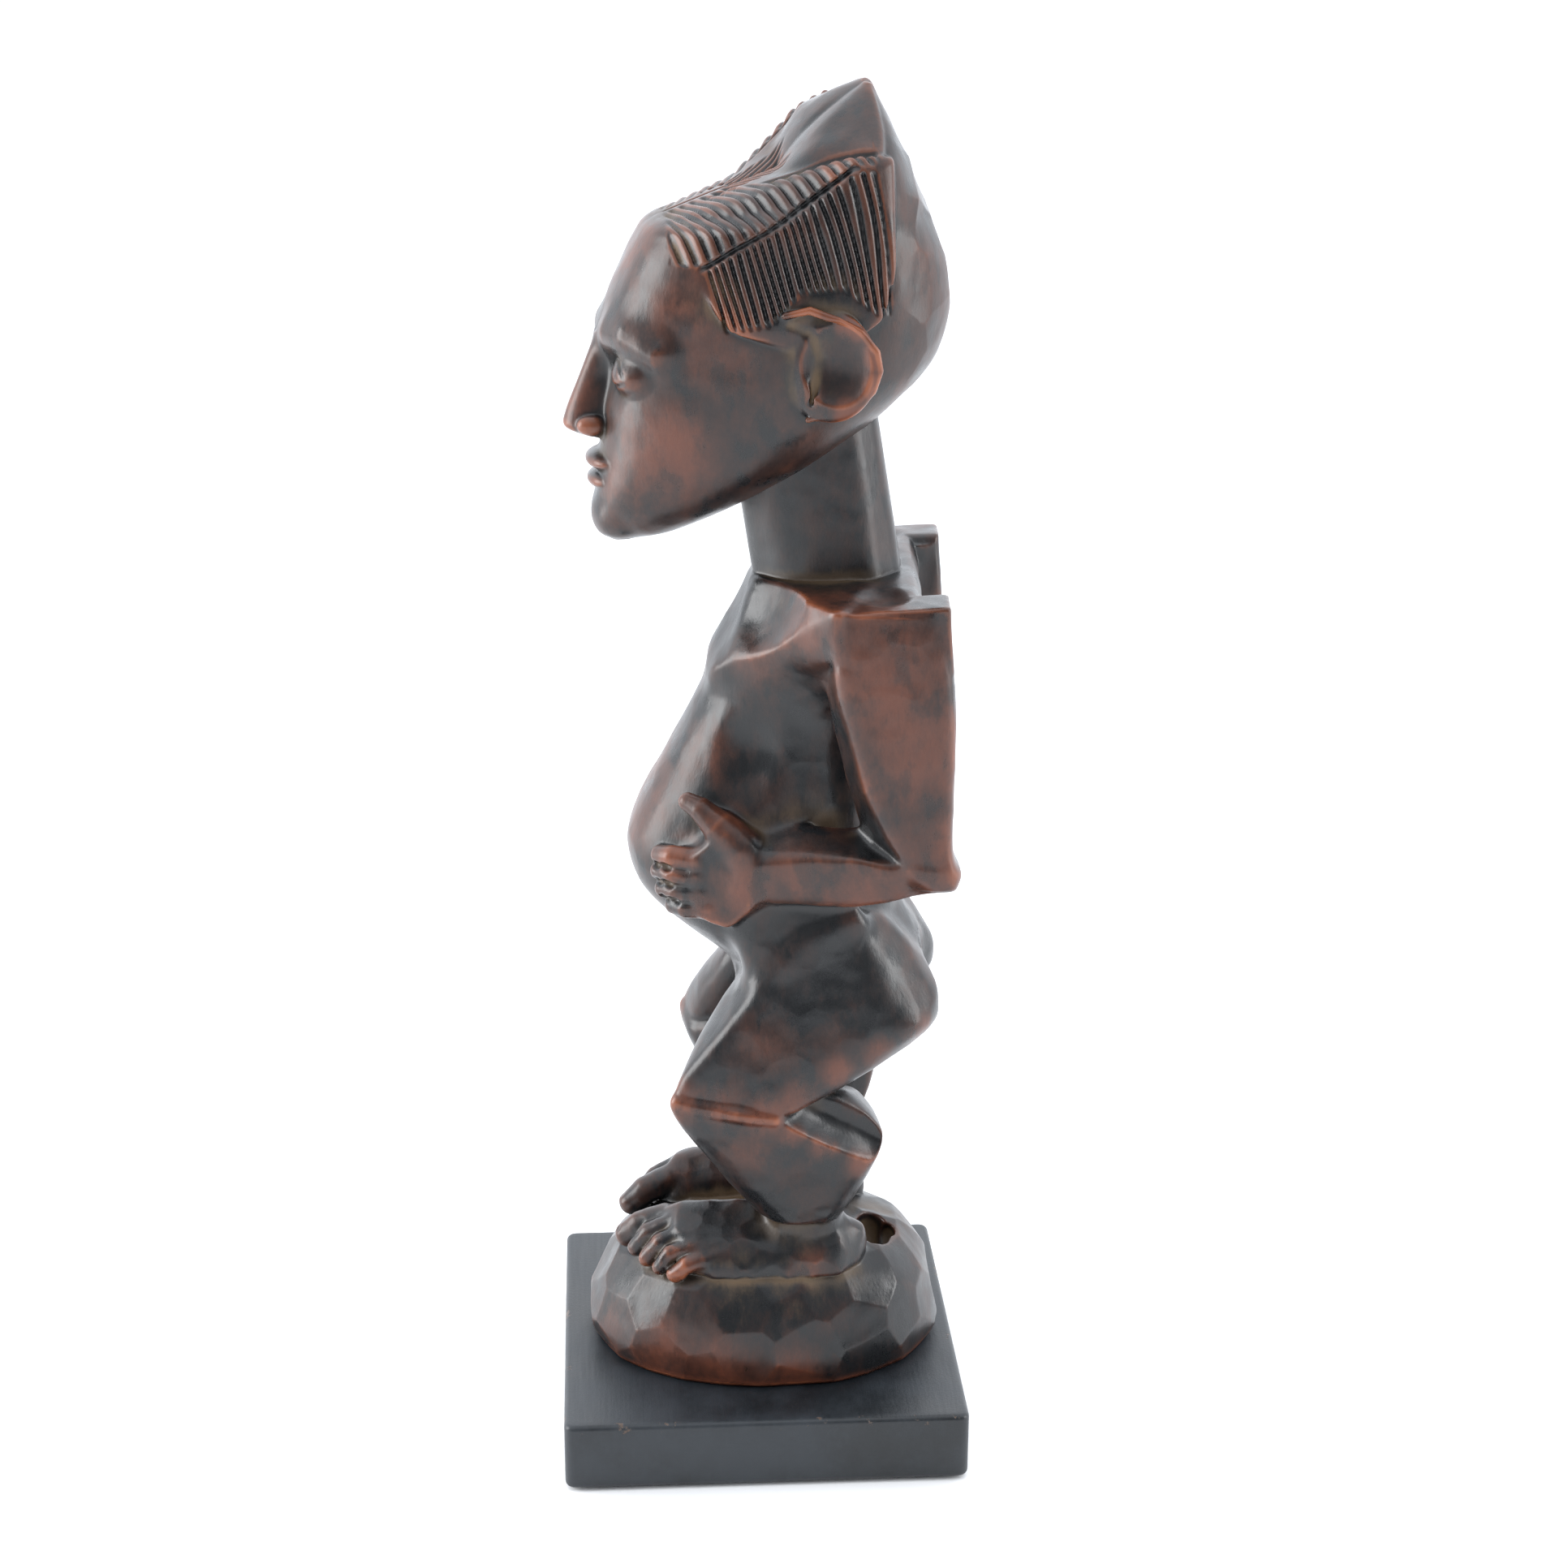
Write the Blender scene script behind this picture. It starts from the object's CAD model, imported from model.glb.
import math

import bmesh
import bpy
import numpy as np
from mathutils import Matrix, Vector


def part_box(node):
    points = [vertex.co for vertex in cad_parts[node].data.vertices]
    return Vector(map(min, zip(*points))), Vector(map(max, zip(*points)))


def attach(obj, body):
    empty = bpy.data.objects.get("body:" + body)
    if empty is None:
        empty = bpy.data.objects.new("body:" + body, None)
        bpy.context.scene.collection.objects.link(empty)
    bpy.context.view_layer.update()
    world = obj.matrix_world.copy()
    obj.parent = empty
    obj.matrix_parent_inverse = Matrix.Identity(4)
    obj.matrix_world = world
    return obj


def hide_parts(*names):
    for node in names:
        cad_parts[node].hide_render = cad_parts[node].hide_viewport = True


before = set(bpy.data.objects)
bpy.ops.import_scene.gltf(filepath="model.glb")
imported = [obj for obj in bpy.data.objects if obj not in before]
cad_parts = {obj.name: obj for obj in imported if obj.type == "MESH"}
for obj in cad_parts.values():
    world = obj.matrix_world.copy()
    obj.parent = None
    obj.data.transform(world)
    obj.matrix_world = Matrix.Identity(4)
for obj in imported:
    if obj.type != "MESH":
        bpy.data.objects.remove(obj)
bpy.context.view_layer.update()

import openvdb
from mathutils import Matrix, Vector

MM = 0.001

# ---- Felt lining --------------------------------------------------------------------------
# A thin sheet of black wool felt, glued under the plinth so that the screw heads can't
# scratch a shelf. It is cut a little smaller than the plinth, with its edge left raw.


class Finish:
    """A node material that a section fills in: colour, roughness and bump on one shader."""

    def __init__(self, name):
        self.material = bpy.data.materials.new(name)
        self.material.use_nodes = True
        self.tree = self.material.node_tree
        self.shader = self.tree.nodes["Principled BSDF"]

    def node(self, kind, inputs=(), **settings):
        made = self.tree.nodes.new(kind)
        for key, value in settings.items():
            setattr(made, key, value)
        for key, value in dict(inputs).items():
            self.put(made.inputs[key], value)
        return made

    def put(self, socket, value):
        if isinstance(value, bpy.types.NodeSocket):
            self.tree.links.new(value, socket)
        else:
            socket.default_value = value

    def place(self, scale=(1, 1, 1)):
        """Object coordinates in metres, stretched by scale."""
        where = self.node("ShaderNodeTexCoord").outputs["Object"]
        return self.node("ShaderNodeMapping", {"Vector": where, "Scale": scale}).outputs[0]

    def noise(self, scale, stretch=(1, 1, 1), detail=4.0, roughness=0.55):
        return self.node("ShaderNodeTexNoise", {
            "Vector": self.place(stretch), "Scale": scale, "Detail": detail, "Roughness": roughness,
        }).outputs["Fac"]

    def ramp(self, value, low, high, start=0.0, end=1.0):
        """Smoothly from start to end while value goes from low to high."""
        return self.node("ShaderNodeMapRange", {
            0: value, 1: low, 2: high, 3: start, 4: end,
        }, interpolation_type="SMOOTHSTEP").outputs[0]

    def math(self, operation, a, b):
        return self.node("ShaderNodeMath", {0: a, 1: b}, operation=operation).outputs[0]

    def plus(self, a, b):
        return self.math("ADD", a, b)

    def minus(self, a, b):
        return self.math("SUBTRACT", a, b)

    def times(self, a, b):
        return self.math("MULTIPLY", a, b)

    def colour(self, value):
        self.put(self.shader.inputs["Base Color"], value)

    def roughness(self, value):
        self.put(self.shader.inputs["Roughness"], value)

    def mix(self, share, a, b):
        made = self.node("ShaderNodeMix", data_type="RGBA")
        self.put(made.inputs[0], share)
        self.put(made.inputs[6], a)
        self.put(made.inputs[7], b)
        return made.outputs[2]

    def attribute(self, name):
        return self.node("ShaderNodeAttribute", attribute_name=name).outputs["Fac"]

    def bump(self, height, distance, strength=1.0):
        made = self.node("ShaderNodeBump", {"Height": height, "Distance": distance, "Strength": strength})
        self.put(self.shader.inputs["Normal"], made.outputs[0])


def rounded_slab(name, low, high, corner, edge, steps, cell):
    """A slab with round corners in plan and eased edges, its faces cut into cells."""
    half_x = (high.x - low.x) / 2
    half_y = (high.y - low.y) / 2
    centre = (low + high) / 2
    bm = bmesh.new()
    ring = []
    for quarter, (sx, sy) in enumerate([(1, 1), (-1, 1), (-1, -1), (1, -1)]):
        for i in range(steps + 1):
            angle = math.pi / 2 * (quarter + i / steps)
            x = centre.x + sx * (half_x - corner) + corner * math.cos(angle)
            y = centre.y + sy * (half_y - corner) + corner * math.sin(angle)
            ring.append(bm.verts.new((x, y, low.z)))
    base = bm.faces.new(ring)
    raised = bmesh.ops.extrude_face_region(bm, geom=[base])["geom"]
    top = [v for v in raised if isinstance(v, bmesh.types.BMVert)]
    bmesh.ops.translate(bm, verts=top, vec=(0, 0, high.z - low.z))
    bmesh.ops.recalc_face_normals(bm, faces=bm.faces[:])
    rims = [e for e in bm.edges if abs(e.verts[0].co.z - e.verts[1].co.z) < 1e-6]
    bmesh.ops.bevel(bm, geom=rims, offset=edge, segments=steps, profile=0.5, affect="EDGES")
    for axis in (0, 1):
        count = int((high[axis] - low[axis] - 2 * corner) / cell)
        for i in range(count + 1):
            spot = [0.0, 0.0, 0.0]
            normal = [0.0, 0.0, 0.0]
            spot[axis] = low[axis] + corner + (high[axis] - low[axis] - 2 * corner) * i / count
            normal[axis] = 1.0
            everything = bm.verts[:] + bm.edges[:] + bm.faces[:]
            bmesh.ops.bisect_plane(bm, geom=everything, plane_co=spot, plane_no=normal, dist=1e-6)
    mesh = bpy.data.meshes.new(name)
    bm.to_mesh(mesh)
    bm.free()
    mesh.shade_smooth()
    piece = bpy.data.objects.new(name, mesh)
    bpy.context.collection.objects.link(piece)
    return piece


FELT_CORNER = 3 * MM
FELT_EDGE = 0.3 * MM
felt_low, felt_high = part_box("felt_lining")
felt = rounded_slab("felt_sheet", felt_low, felt_high, FELT_CORNER, FELT_EDGE, 3, 6 * MM)
wool = Finish("black_wool_felt")
wool_fibre = wool.noise(2600, detail=6)
wool.colour(wool.mix(wool_fibre, (0.006, 0.006, 0.007, 1), (0.03, 0.03, 0.032, 1)))
wool.shader.inputs["Roughness"].default_value = 0.95
wool.shader.inputs["Sheen Weight"].default_value = 0.4
wool.bump(wool_fibre, 0.25 * MM, 0.8)
felt.data.materials.append(wool.material)
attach(felt, "root")
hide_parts("felt_lining")

# ---- Plinth -------------------------------------------------------------------------------
# A square block of planed board with eased edges, brushed with satin black paint. The paint
# has rubbed thin and chipped along the edges; the underside is pressed onto the felt.

PLINTH_CORNER = 3 * MM
PLINTH_EDGE = 1.6 * MM
RUBBED_EDGE = 1.7 * MM    # how far in from two faces the paint is rubbed
plinth_low, plinth_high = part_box("plinth")
plinth = rounded_slab("painted_plinth", plinth_low, plinth_high, PLINTH_CORNER, PLINTH_EDGE, 5, 4 * MM)
worn = plinth.data.attributes.new("worn_edge", "FLOAT", "POINT")
for vertex, mark in zip(plinth.data.vertices, worn.data):
    inset = sorted(min(vertex.co[i] - plinth_low[i], plinth_high[i] - vertex.co[i]) for i in range(3))
    mark.value = 1.0 if inset[1] < RUBBED_EDGE else 0.0
paint = Finish("satin_black_paint")
paint_cloud = paint.noise(26, detail=7, roughness=0.65)
paint_speck = paint.noise(1300, detail=3)
paint_brush = paint.noise(55, (1, 16, 1), detail=6)
paint_tint = paint.mix(
    paint.ramp(paint_cloud, 0.35, 0.68), (0.008, 0.010, 0.012, 1), (0.023, 0.028, 0.034, 1)
)
paint_level = paint.node("ShaderNodeSeparateXYZ", {"Vector": paint.place()}).outputs["Z"]
paint_top = paint.ramp(paint_level, plinth_high.z - 4 * MM, plinth_high.z - 2 * MM)
paint_rim = paint.times(paint.attribute("worn_edge"), paint_top)
paint_chip = paint.ramp(paint.noise(170, detail=6, roughness=0.7), 0.6, 0.65)
paint_chip = paint.times(paint_chip, paint.ramp(paint_rim, 0.5, 0.9))
paint.colour(paint.mix(paint_chip, paint_tint, (0.085, 0.055, 0.04, 1)))
paint_polish = paint.plus(paint_cloud, paint.times(paint_brush, 0.35))
paint.roughness(paint.ramp(paint_polish, 0.45, 0.85, 0.28, 0.46))
paint_relief = paint.plus(paint.times(paint_brush, 0.5), paint.times(paint_speck, 0.5))
paint.bump(paint.minus(paint_relief, paint_chip), 0.14 * MM, 0.7)
plinth.data.materials.append(paint.material)
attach(plinth, "root")
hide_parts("plinth")

# ---- Screws -------------------------------------------------------------------------------
# Two countersunk steel wood screws, driven up through the plinth into the figure's base.

steel = Finish("plain_steel")
steel.shader.inputs["Metallic"].default_value = 1.0
steel_grain = steel.noise(1500, (1, 1, 0.2))
steel.colour(steel.mix(steel_grain, (0.42, 0.42, 0.43, 1), (0.62, 0.62, 0.63, 1)))
steel.roughness(steel.ramp(steel_grain, 0.3, 0.7, 0.25, 0.42))
for name in ("screw_front", "screw_back"):
    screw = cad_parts[name]
    screw.data.materials.clear()
    screw.data.materials.append(steel.material)

# ---- Carved body and base -----------------------------------------------------------------
# Body and domed base are one log of dense wood, carved with adze and knife, then oiled until it
# took a dark satin patina. It is shaped as the carver does, masses first and then cuts, in
# millimetres above the plinth's top, with -Y to the front and x to the figure's left.

FIGURE_TURN = -4          # degrees: the figure stands a little askew on the plinth
BODY_CELL = 0.6
MOST_TRIANGLES = 195000   # on each of the two carved meshes


def fade(value):
    """Held between 0 and 1."""
    return np.clip(value, 0, 1)


def smooth_max(a, b, k):
    """The larger of two distances, with the corner between them rounded over k."""
    if k <= 0:
        return np.maximum(a, b)
    round_off = np.abs(a - b)
    np.subtract(k, round_off, out=round_off)
    np.maximum(round_off, 0, out=round_off)
    round_off *= round_off
    round_off *= 1 / (4 * k)
    round_off += np.maximum(a, b)
    return round_off


def smooth_min(a, b, k):
    return -smooth_max(-a, -b, k)


class Wood:
    """Distances to the wood's surface on a lattice, negative inside the wood."""

    FAR = 6.0             # the distance where nothing is yet
    MARGIN = 2.5          # how far past its own box and blend a shape is measured

    def __init__(self, low, high, cell):
        self.cell = cell
        self.low = np.round(np.array(low) / cell) * cell
        self.count = (np.ceil((np.array(high) - self.low) / cell)).astype(int) + 1
        self.field = np.full(self.count, self.FAR, np.float32)
        self.paired = False

    def window(self, low, high):
        """Slices of the lattice inside a box, and the places of their points. In a paired
        piece the right side is measured as the left, so each shape is made twice."""
        if self.paired:
            low = np.array([-high[0], low[1], low[2]])
        first = np.clip(np.floor((np.array(low) - self.low) / self.cell).astype(int), 0, self.count - 1)
        last = np.clip(np.ceil((np.array(high) - self.low) / self.cell).astype(int) + 1, 1, self.count)
        x, y, z = (
            (self.low[i] + self.cell * np.arange(first[i], last[i])).astype(np.float32) for i in range(3)
        )
        if self.paired:
            x = np.abs(x)
        where = tuple(slice(a, b) for a, b in zip(first, last))
        return where, x[:, None, None], y[None, :, None], z[None, None, :]

    def _meet(self, shape, blend, cutting):
        low, high, distance = shape
        reach = blend + self.MARGIN
        where, x, y, z = self.window(np.array(low) - reach, np.array(high) + reach)
        if min(s.stop - s.start for s in where) <= 0:
            return
        made = distance(x, y, z)
        old = self.field[where]
        self.field[where] = smooth_max(old, -made, blend) if cutting else smooth_min(old, made, blend)

    def add(self, shape, blend=1.0):
        self._meet(shape, blend, False)

    def cut(self, shape, blend=1.0):
        self._meet(shape, blend, True)

    def groove(self, low, high, depth):
        """Lowers the surface inside a box by depth(x, y, z), which fades out by itself."""
        where, x, y, z = self.window(low, high)
        self.field[where] += depth(x, y, z).astype(np.float32)

    def measure(self, points):
        """Distances to the surface at any points inside the lattice."""
        at = np.clip((points - self.low) / self.cell, 0, self.count - 1.001)
        cell = np.floor(at).astype(int)
        share = at - cell
        total = np.zeros(len(points))
        for dx in (0, 1):
            for dy in (0, 1):
                for dz in (0, 1):
                    weight = np.prod(np.where((dx, dy, dz), share, 1 - share), axis=1)
                    total += weight * self.field[cell[:, 0] + dx, cell[:, 1] + dy, cell[:, 2] + dz]
        return total

    def slope(self, points, step):
        """Outward directions of the surface at points near it."""
        offsets = np.eye(3) * step
        rise = np.stack([self.measure(points + o) - self.measure(points - o) for o in offsets], axis=1)
        return rise / np.maximum(np.linalg.norm(rise, axis=1, keepdims=True), 1e-6)

    def adze(self, low, high, spacing, depth, seed):
        """Covers the surface inside a box with overlapping hollow cuts of a curved blade."""
        rng = np.random.default_rng(seed)
        where, x, y, z = self.window(low, high)
        corner = np.array([s.start for s in where])
        shell = np.argwhere(np.abs(self.field[where]) < self.cell * 0.6)
        spots = (self.low + self.cell * (shell + corner))[rng.permutation(len(shell))[:6000]]
        chosen = np.empty((0, 3))
        for spot in spots:
            if not len(chosen) or ((chosen - spot) ** 2).sum(1).min() > (0.75 * spacing) ** 2:
                chosen = np.vstack([chosen, spot])
        bite = np.zeros_like(self.field[where])
        for spot in chosen:
            reach = spacing * rng.uniform(0.9, 1.15)
            first = np.floor((spot - reach - self.low) / self.cell).astype(int) - corner
            last = np.ceil((spot + reach - self.low) / self.cell).astype(int) + 1 - corner
            part = tuple(slice(max(a, 0), max(b, 0)) for a, b in zip(first, last))
            px, py, pz = x[part[0]] - spot[0], y[:, part[1]] - spot[1], z[:, :, part[2]] - spot[2]
            dent = depth * rng.uniform(0.85, 1.15) * (1 - (px**2 + py**2 + pz**2) / reach**2)
            bite[part] = np.maximum(bite[part], dent)
        ease = fade(np.minimum(np.minimum(z - low[2], high[2] - z), y - low[1]) / (0.4 * spacing))
        self.field[where] += np.where(bite > 0, bite - 0.8 * depth, 0) * ease


def curved(rows, steps=10):
    """Catmull-Rom rows through the given rows."""
    rows = np.array(rows, float)
    padded = np.vstack([rows[:1], rows, rows[-1:]])
    out = []
    for i in range(len(rows) - 1):
        a, b, c, d = padded[i:i + 4]
        for t in np.arange(steps) / steps:
            bend = (2 * a - 5 * b + 4 * c - d) * t**2 + (3 * b - a - 3 * c + d) * t**3
            out.append(0.5 * (2 * b + (c - a) * t + bend))
    out.append(rows[-1])
    return np.array(out)


def form(axis, rows, square=2.3):
    """A swelling form through sections across an axis. A row is [place along the axis, low,
    high, middle x, half width]: low and high are y along "z", and z along "y"."""
    table = curved(rows)
    rate = np.gradient(table, axis=0)
    along = table[:, 0]
    slope_deep = (rate[:, 2] - rate[:, 1]) / 2 / np.maximum(rate[:, 0], 1e-3)
    slope_wide = rate[:, 4] / np.maximum(rate[:, 0], 1e-3)
    wide = (table[:, 3] - table[:, 4]).min(), (table[:, 3] + table[:, 4]).max()
    deep = table[:, 1].min(), table[:, 2].max()
    ends = along[0], along[-1]
    y_range, z_range = (deep, ends) if axis == "z" else (ends, deep)

    def distance(x, y, z):
        t, across = (z, y) if axis == "z" else (y, z)

        def at(column):
            return np.interp(t, along, column).astype(np.float32)

        middle, half = at(table[:, 3]), at(table[:, 4])
        centre = at((table[:, 1] + table[:, 2]) / 2)
        deep_half = at((table[:, 2] - table[:, 1]) / 2)
        u = np.abs(x - middle) / half
        v = np.abs(across - centre) / deep_half
        up = u ** (square - 1)
        vp = v ** (square - 1)
        total = np.maximum(u * up + v * vp, 1e-6)
        g = total ** (1 / square)
        steep = np.sqrt((up / half) ** 2 + (vp / deep_half) ** 2) * g / total
        lean = np.sqrt(1 + (u * up * at(slope_wide) ** 2 + v * vp * at(slope_deep) ** 2) / total)
        inside = np.minimum(half, deep_half)
        d = np.where(g < 0.5, (g - 1) * inside, (g - 1) / np.maximum(steep, 1e-4)) / lean
        return np.maximum(d, np.maximum(ends[0] - t, t - ends[1]))

    return (wide[0], y_range[0], z_range[0]), (wide[1], y_range[1], z_range[1]), distance


def planes_of(points):
    """The faces of the hull of some points, each as a normal and its offset."""
    bm = bmesh.new()
    for point in points:
        bm.verts.new(point)
    bmesh.ops.convex_hull(bm, input=bm.verts)
    middle = Vector(np.mean(points, axis=0))
    planes = []
    for face in bm.faces:
        normal = face.normal if face.normal.dot(face.calc_center_median() - middle) > 0 else -face.normal
        plane = (*normal, normal.dot(face.verts[0].co))
        if not any(np.dot(plane[:3], other[:3]) > 0.9995 for other in planes):
            planes.append(plane)
    bm.free()
    return planes


def block(points, edge=3.0):
    """A faceted form: the hull of its corner points, with its edges rubbed round."""
    planes = planes_of(points)

    def distance(x, y, z):
        d = None
        for nx, ny, nz, offset in planes:
            side = nx * x + ny * y + nz * z - offset
            d = side if d is None else smooth_max(d, side, edge)
        return d - edge / 4

    return np.min(points, axis=0), np.max(points, axis=0), distance


def ball(centre, radii, turn=0.0):
    """An egg form, turned about the vertical by degrees."""
    cx, cy, cz = centre
    rx, ry, rz = radii
    c, s = math.cos(math.radians(turn)), math.sin(math.radians(turn))
    reach = np.array([math.hypot(rx * c, ry * s), math.hypot(rx * s, ry * c), rz])

    def distance(x, y, z):
        u = (c * (x - cx) + s * (y - cy)) / rx
        v = (c * (y - cy) - s * (x - cx)) / ry
        w = (z - cz) / rz
        k0 = np.sqrt(u * u + v * v + w * w)
        k1 = np.sqrt((u / rx) ** 2 + (v / ry) ** 2 + (w / rz) ** 2)
        return k0 * (k0 - 1) / np.maximum(k1, 1e-4)

    return np.array(centre) - reach, np.array(centre) + reach, distance


def limb(points):
    """Round rods end to end: each point is (x, y, z, radius)."""
    points = np.array(points, float)
    thick = points[:, 3:]

    def distance(x, y, z):
        d = None
        for a, b in zip(points[:-1], points[1:]):
            run = b[:3] - a[:3]
            px, py, pz = x - a[0], y - a[1], z - a[2]
            h = fade((px * run[0] + py * run[1] + pz * run[2]) / (run @ run))
            off = np.sqrt((px - h * run[0]) ** 2 + (py - h * run[1]) ** 2 + (pz - h * run[2]) ** 2)
            rod = off - (a[3] + (b[3] - a[3]) * h)
            d = rod if d is None else np.minimum(d, rod)
        return d

    return (points[:, :3] - thick).min(0), (points[:, :3] + thick).max(0), distance


# The body is symmetric, so only its left half is shaped: x runs from the middle outwards.
half = Wood((0, -62, 20), (56, 62, 296), BODY_CELL)

# Feet and toes, draped over the front of the base.
half.add(block([
    (12, -30, 47), (17, -25, 50.6), (17, -13.3, 52), (19, -2.4, 52.6), (20, 20, 51), (24, -24, 48.4),
    (30, -20.8, 45.6), (33, -16, 40), (35.8, -15.6, 33), (36.2, -2, 34.4), (34.6, 24, 33.4),
    (34.4, -10, 41), (33.6, 6, 42.4), (31.6, 24, 43.6), (25, 32.4, 38.6), (22, 31.6, 46.6),
    (16, 32, 44), (15, 33, 34), (25, 33, 33), (8, -28, 42), (7, -26, 32), (9, -8, 47), (9, -4, 33),
    (12, 20, 46), (12, 24, 33), (28, -26, 33), (14, -33, 40), (14, -33, 32),
], 4), 1)
TOES = [
    [(14, -20, 43.5, 3), (12.6, -28, 42.4, 4.2), (11.6, -35, 39.0, 4.5), (10.4, -39.6, 35.2, 3.9)],
    [(18.8, -18, 45.4, 2), (19, -26, 44, 2.8), (18.4, -32.4, 40.4, 3.0), (18.0, -36.4, 34.8, 2.8)],
    [(23.4, -15, 44.8, 2), (24, -23, 43, 2.7), (23.8, -29, 39.6, 2.9), (23.2, -32.8, 34.2, 2.7)],
    [(27.4, -12, 43, 2), (28.5, -19.6, 41, 2.7), (28.4, -25.2, 38.5, 2.8), (27.8, -28.8, 33.8, 2.6)],
    [(30.6, -9, 40.4, 2), (31.8, -15.4, 38.6, 2.6), (32.3, -20.6, 36.9, 2.8), (31.9, -24.2, 33.4, 2.6)],
]
for toe in TOES:
    half.add(limb(toe), 1.0)
    x, y, z, thick = toe[-1]
    half.cut(ball((x + 1, y - 3.6, z + 3.4), (1.7, 1.5, 1.9)), 0.4)

# Ankles and lower legs: a belt ridge at the calf, tapering to a crisp cuff.
half.add(form("z", [
    [40, 4, 28, 21.5, 10],
    [46, 3.5, 26.5, 22, 8.8],
    [54, 3, 25.5, 22.5, 8.6],
], 2.3), 3)
half.add(block([
    (36, -24.8, 87.5), (36, -24.8, 94), (42.6, -5, 91), (43, 7.5, 88.5), (40.5, 20, 80), (36, 34, 72),
    (32, 37.6, 82), (33, 38, 77), (26, 27, 93), (33, 19, 94), (22, -22, 88), (18, -14, 93),
    (16, 30, 88), (17, 36, 80), (32.5, -10.4, 73), (28, -0.6, 53), (27, 2.2, 49.4), (33, 8, 50),
    (33.5, 17, 50.5), (29, 25, 51), (29, 32, 62), (40.2, 1.7, 78), (38, 19.7, 73.5), (12.5, 6, 49.5),
    (12, 22, 49.5), (14, 31, 62), (18, -2, 52), (20, 26, 49.5),
], 2.6), 0.8)
half.cut(block([
    (43.6, 7, 88.8), (41, 20, 80.4), (35.8, 35, 72.6), (34.4, 12, 91), (32, 24, 84), (30.6, 37, 77),
    (60, 6, 90), (60, 36, 72), (60, 20, 104), (33, 20, 98), (30.6, 34, 92), (60, 40, 92),
], 2.5), 1)

# Thighs and hips.
half.add(block([
    (36, -24.8, 91), (36.6, -24.4, 97.4), (38.6, -13.6, 94), (42.6, -5, 91.5), (43.2, 7.6, 89),
    (43.4, 13.2, 98.4), (41.6, 27.7, 108), (35.6, 47.6, 114.6), (24, 54.4, 122), (18, 55, 121),
    (25, 53.2, 112.6), (18, 53.4, 111), (30, 47.9, 110), (34, 36.2, 104.2), (35, 28.4, 97.5),
    (26, 42.4, 138), (17, 45, 139), (25, 36, 148), (33, 28, 147), (34, 10, 141), (33, -0.8, 128.6),
    (38, -7, 113), (24, -17.8, 109), (18, -6, 127), (10, -5, 123), (8, 6, 120), (22, -22, 92),
    (20, -10, 90), (20, 8, 90), (22, 26, 97), (6, 44, 112), (6, 46, 134), (4, 12, 138), (5, 30, 148),
], 4.4), 2)
half.add(limb([(35.2, -22.2, 91.6, 1.5), (41.2, -5, 91, 1.6), (41.4, 5.6, 89.8, 1.4)]), 2.4)
half.add(block([
    (28.5, -8, 157), (31.4, 3, 160), (31, 28, 160), (33.6, -2, 130), (34.6, 12, 140), (33.6, 30, 147),
    (26, -9, 141), (14, -6, 152), (14, 20, 152), (20, 0, 124), (20, 28, 140),
], 7), 7)
half.cut(limb([(0, 62, 98, 6), (0, 57, 122, 4.5), (0, 50, 140, 2)]), 3)
half.add(form("y", [
    [-5, 118, 135, 0, 12],
    [5, 108, 140, 0, 16],
    [25, 104, 146, 0, 18],
    [40, 106, 144, 0, 16],
    [48, 114, 134, 0, 9],
], 2.2), 4)

# Trunk with a full belly and hollowed flanks.
half.add(form("z", [
    [108, -1, 36, 0, 10],
    [118, -6, 40, 0, 19],
    [128, -10, 41, 0, 23.5],
    [138, -22, 41.5, 0, 27],
    [149, -34, 41.5, 0, 29.5],
    [161, -38.4, 41, 0, 30.5],
    [173, -35.8, 41, 0, 30],
    [186, -29, 41.5, 0, 27.5],
    [198, -22.6, 42, 0, 25.5],
    [210, -16.5, 42.5, 0, 25],
    [220, -12.5, 43, 0, 26],
    [232, -6, 43.5, 0, 28],
    [242, -1, 43.5, 0, 29],
], 2.3), 3)
half.cut(ball((66, -6, 200), (45, 30, 34)), 2)

# Shoulder shelf, and the chest with its breast ridges running out to the shoulders.
half.add(block([
    (46, 21.5, 243.4), (45.4, 52.6, 245.8), (30, 10.8, 243.2), (6, -1.4, 242.8), (-6, -1.4, 242.8),
    (-45.4, 52.6, 245.8), (45, 22.5, 230), (45, 54, 226), (30, 14, 226), (0, -4, 230), (-45, 54, 226),
    (14, 0, 232),
], 1.4), 1)
half.add(block([
    (15.5, -13.6, 218), (13, -13.6, 221.5), (19, -8.5, 218), (26, 3.4, 223), (32, 11.4, 228),
    (38, 19.4, 232), (46, 21.5, 243), (30, 10.8, 243), (6, -1.6, 243), (4, -6.4, 236.5),
    (3, -13.2, 227), (0, -14.6, 221), (0, -13.4, 214), (10, -13, 209), (15, 6, 204), (29, 24, 212),
    (20, 30, 243), (-6, 20, 206), (-6, -1.6, 243), (40, 26, 226),
], 2.6), 5)
half.cut(ball((41.5, -25, 254), (40, 40, 40)), 1.2)
half.cut(ball((13, -31, 242), (26, 26, 26)), 5)
half.cut(ball((33, 35, 293), (27, 24, 50)), 1.2)
half.cut(block([
    (30.6, 44.8, 256), (30.6, 66, 256), (27, 44.8, 160), (27, 66, 160), (-30.6, 44.8, 256),
    (-30.6, 66, 256), (-27, 44.8, 160), (-27, 66, 160),
], 0.5), 3)
half.add(block([
    (29, 44.6, 238), (-29, 44.6, 238), (25, 44.6, 224), (-25, 44.6, 224), (9, 41.6, 188),
    (-9, 41.6, 188), (24, 30, 238), (-24, 30, 238), (8, 30, 188), (-8, 30, 188),
], 5), 7)

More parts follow.
